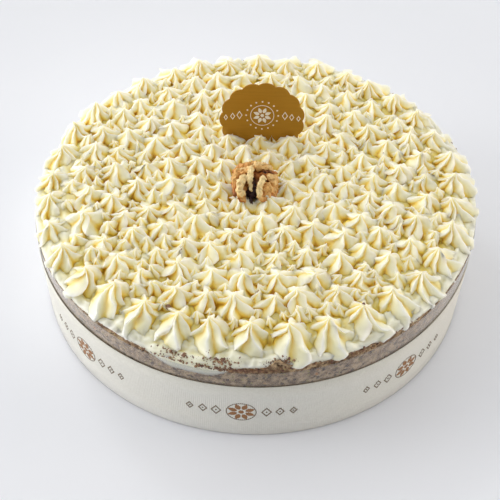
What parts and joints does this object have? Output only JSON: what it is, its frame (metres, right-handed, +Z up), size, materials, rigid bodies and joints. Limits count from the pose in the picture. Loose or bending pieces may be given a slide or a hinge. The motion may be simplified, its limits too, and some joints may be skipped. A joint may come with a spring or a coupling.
{
  "type": "carrot cake",
  "caption": "Round carrot cake with piped cream cheese rosettes, a walnut half and a scalloped card plaque on top, and a clear collar and ribbon round the side.",
  "frame": {"origin": "centre of the round underside, on the surface the cake stands on", "axes": "+Z up through the middle of the cake, -Y towards the front, the side the plaque faces, +X to the right as seen from the front"},
  "size_m": [0.26, 0.26, 0.1093],
  "materials": {
    "sponge": "baked sponge, brown and speckled, dry and crumbly",
    "frosting": "cream cheese frosting, pale cream, soft satin",
    "walnut": "shelled walnut, tan and brown, dry and wrinkled",
    "gold_card": "gold-brown printed card, satin",
    "clear_film": "clear acetate film, glossy",
    "ribbon": "off-white ribbed ribbon, soft sheen"
  },
  "bodies": {
    "root": {"sponge": "sponge", "frosting": "frosting", "walnut_half": "walnut", "card_plaque": "gold_card", "clear_collar": "clear_film", "ribbon": "ribbon"}
  },
  "joints": []
}
